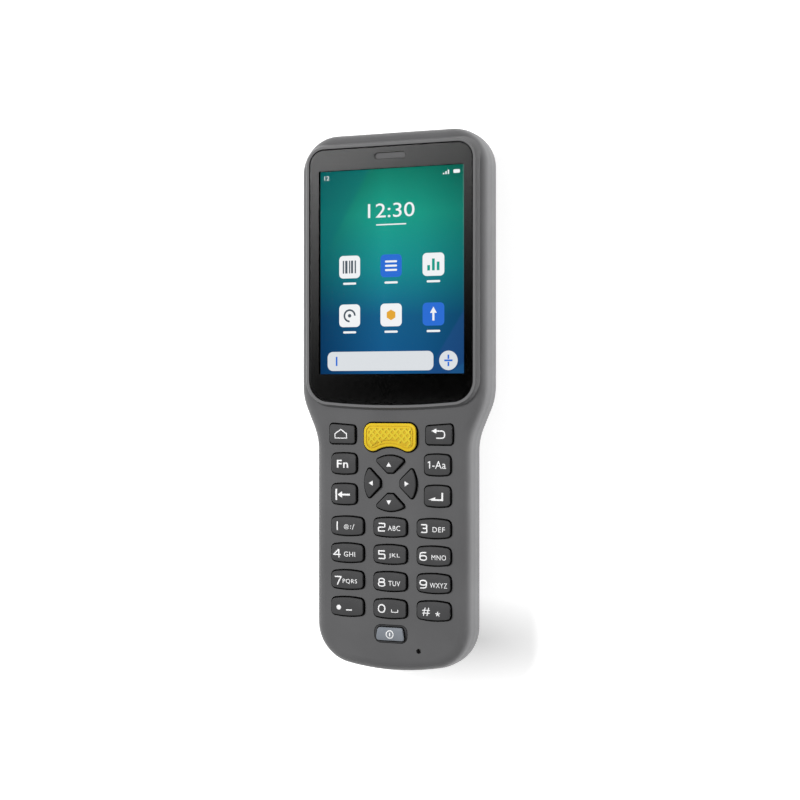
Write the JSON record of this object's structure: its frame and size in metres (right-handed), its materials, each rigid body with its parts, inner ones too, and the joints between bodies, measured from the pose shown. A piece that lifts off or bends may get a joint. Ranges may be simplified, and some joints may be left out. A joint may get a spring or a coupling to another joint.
{
  "type": "barcode data terminal",
  "caption": "Hand-held barcode data terminal with a portrait touch display, a wide scan key over a direction ring, a number keypad, a scan window at its top end and a swinging battery cover.",
  "frame": {"origin": "centre of the box's footprint, on the flat back that the terminal lies on", "axes": "+X to the right of the keypad, +Y to the scanning end, +Z out of the face"},
  "size_m": [0.0564, 0.152, 0.021],
  "materials": {
    "casing_grey": "fine moulded texture",
    "seal_black": "smooth moulded rubber",
    "glass": "polished, black border printed behind it",
    "tape_black": "adhesive foam",
    "display": "lit colour display",
    "mesh_grey": "woven mesh",
    "component_black": "moulded",
    "magnesium": "die cast",
    "circuit_board": "solder mask",
    "tin_plate": "pressed",
    "steel": "machined",
    "silicone": "moulded",
    "battery_shell": "moulded",
    "contact_gold": "gold plated",
    "window_red": "polished dark red filter",
    "key_grey": "fine moulded texture with printed legends",
    "key_yellow": "moulded, with a raised outline and a raised lattice",
    "key_blue_grey": "moulded"
  },
  "bodies": {
    "casing": {"battery": "battery_shell", "battery_contacts": "contact_gold", "board_shields": "tin_plate", "chassis": "magnesium", "chassis_screws": "steel", "cover_glass": "glass", "display_panel": "display", "earpiece": "component_black", "earpiece_mesh": "mesh_grey", "front_housing": "casing_grey", "glass_tape": "tape_black", "housing_screws": "steel", "housing_seal": "seal_black", "key_board": "circuit_board", "key_domes": "steel", "keypad_mat": "silicone", "loudspeaker": "component_black", "main_board": "circuit_board", "microphone": "tin_plate", "power_ring": "seal_black", "rear_housing": "casing_grey", "scan_engine": "component_black", "scan_window": "window_red", "strap_pin": "steel", "usb_socket": "steel", "vibration_motor": "steel"},
    "battery_cover": {"battery_cover": "casing_grey"},
    "key_0": {"key_0": "key_grey"},
    "key_1": {"key_1": "key_grey"},
    "key_2": {"key_2": "key_grey"},
    "key_3": {"key_3": "key_grey"},
    "key_4": {"key_4": "key_grey"},
    "key_5": {"key_5": "key_grey"},
    "key_6": {"key_6": "key_grey"},
    "key_7": {"key_7": "key_grey"},
    "key_8": {"key_8": "key_grey"},
    "key_9": {"key_9": "key_grey"},
    "key_back": {"key_back": "key_grey"},
    "key_delete": {"key_delete": "key_grey"},
    "key_dot": {"key_dot": "key_grey"},
    "key_down": {"key_down": "key_grey"},
    "key_enter": {"key_enter": "key_grey"},
    "key_function": {"key_function": "key_grey"},
    "key_hash": {"key_hash": "key_grey"},
    "key_home": {"key_home": "key_grey"},
    "key_left": {"key_left": "key_grey"},
    "key_power": {"key_power": "key_blue_grey"},
    "key_right": {"key_right": "key_grey"},
    "key_scan": {"key_scan": "key_yellow"},
    "key_shift": {"key_shift": "key_grey"},
    "key_up": {"key_up": "key_grey"}
  },
  "joints": [
    {"name": "cover_swing", "type": "hinge", "parent": "casing", "child": "battery_cover", "pos_m": [0, -0.061, 0.0002], "axis": [-1, 0, 0], "range_deg": [0, 60]},
    {"name": "press_0", "type": "slide", "parent": "casing", "child": "key_0", "axis": [0, 0, -1], "range_m": [0, 0.0006], "stiffness_N_per_m": 3000},
    {"name": "press_1", "type": "slide", "parent": "casing", "child": "key_1", "axis": [0, 0, -1], "range_m": [0, 0.0006], "stiffness_N_per_m": 3000},
    {"name": "press_2", "type": "slide", "parent": "casing", "child": "key_2", "axis": [0, 0, -1], "range_m": [0, 0.0006], "stiffness_N_per_m": 3000},
    {"name": "press_3", "type": "slide", "parent": "casing", "child": "key_3", "axis": [0, 0, -1], "range_m": [0, 0.0006], "stiffness_N_per_m": 3000},
    {"name": "press_4", "type": "slide", "parent": "casing", "child": "key_4", "axis": [0, 0, -1], "range_m": [0, 0.0006], "stiffness_N_per_m": 3000},
    {"name": "press_5", "type": "slide", "parent": "casing", "child": "key_5", "axis": [0, 0, -1], "range_m": [0, 0.0006], "stiffness_N_per_m": 3000},
    {"name": "press_6", "type": "slide", "parent": "casing", "child": "key_6", "axis": [0, 0, -1], "range_m": [0, 0.0006], "stiffness_N_per_m": 3000},
    {"name": "press_7", "type": "slide", "parent": "casing", "child": "key_7", "axis": [0, 0, -1], "range_m": [0, 0.0006], "stiffness_N_per_m": 3000},
    {"name": "press_8", "type": "slide", "parent": "casing", "child": "key_8", "axis": [0, 0, -1], "range_m": [0, 0.0006], "stiffness_N_per_m": 3000},
    {"name": "press_9", "type": "slide", "parent": "casing", "child": "key_9", "axis": [0, 0, -1], "range_m": [0, 0.0006], "stiffness_N_per_m": 3000},
    {"name": "press_back", "type": "slide", "parent": "casing", "child": "key_back", "axis": [0, 0, -1], "range_m": [0, 0.0006], "stiffness_N_per_m": 3000},
    {"name": "press_delete", "type": "slide", "parent": "casing", "child": "key_delete", "axis": [0, 0, -1], "range_m": [0, 0.0006], "stiffness_N_per_m": 3000},
    {"name": "press_dot", "type": "slide", "parent": "casing", "child": "key_dot", "axis": [0, 0, -1], "range_m": [0, 0.0006], "stiffness_N_per_m": 3000},
    {"name": "press_down", "type": "slide", "parent": "casing", "child": "key_down", "axis": [0, 0, -1], "range_m": [0, 0.0006], "stiffness_N_per_m": 3000},
    {"name": "press_enter", "type": "slide", "parent": "casing", "child": "key_enter", "axis": [0, 0, -1], "range_m": [0, 0.0006], "stiffness_N_per_m": 3000},
    {"name": "press_function", "type": "slide", "parent": "casing", "child": "key_function", "axis": [0, 0, -1], "range_m": [0, 0.0006], "stiffness_N_per_m": 3000},
    {"name": "press_hash", "type": "slide", "parent": "casing", "child": "key_hash", "axis": [0, 0, -1], "range_m": [0, 0.0006], "stiffness_N_per_m": 3000},
    {"name": "press_home", "type": "slide", "parent": "casing", "child": "key_home", "axis": [0, 0, -1], "range_m": [0, 0.0006], "stiffness_N_per_m": 3000},
    {"name": "press_left", "type": "slide", "parent": "casing", "child": "key_left", "axis": [0, 0, -1], "range_m": [0, 0.0006], "stiffness_N_per_m": 3000},
    {"name": "press_power", "type": "slide", "parent": "casing", "child": "key_power", "axis": [0, 0, -1], "range_m": [0, 0.0006], "stiffness_N_per_m": 3000},
    {"name": "press_right", "type": "slide", "parent": "casing", "child": "key_right", "axis": [0, 0, -1], "range_m": [0, 0.0006], "stiffness_N_per_m": 3000},
    {"name": "press_scan", "type": "slide", "parent": "casing", "child": "key_scan", "axis": [0, 0, -1], "range_m": [0, 0.0006], "stiffness_N_per_m": 3000},
    {"name": "press_shift", "type": "slide", "parent": "casing", "child": "key_shift", "axis": [0, 0, -1], "range_m": [0, 0.0006], "stiffness_N_per_m": 3000},
    {"name": "press_up", "type": "slide", "parent": "casing", "child": "key_up", "axis": [0, 0, -1], "range_m": [0, 0.0006], "stiffness_N_per_m": 3000}
  ]
}
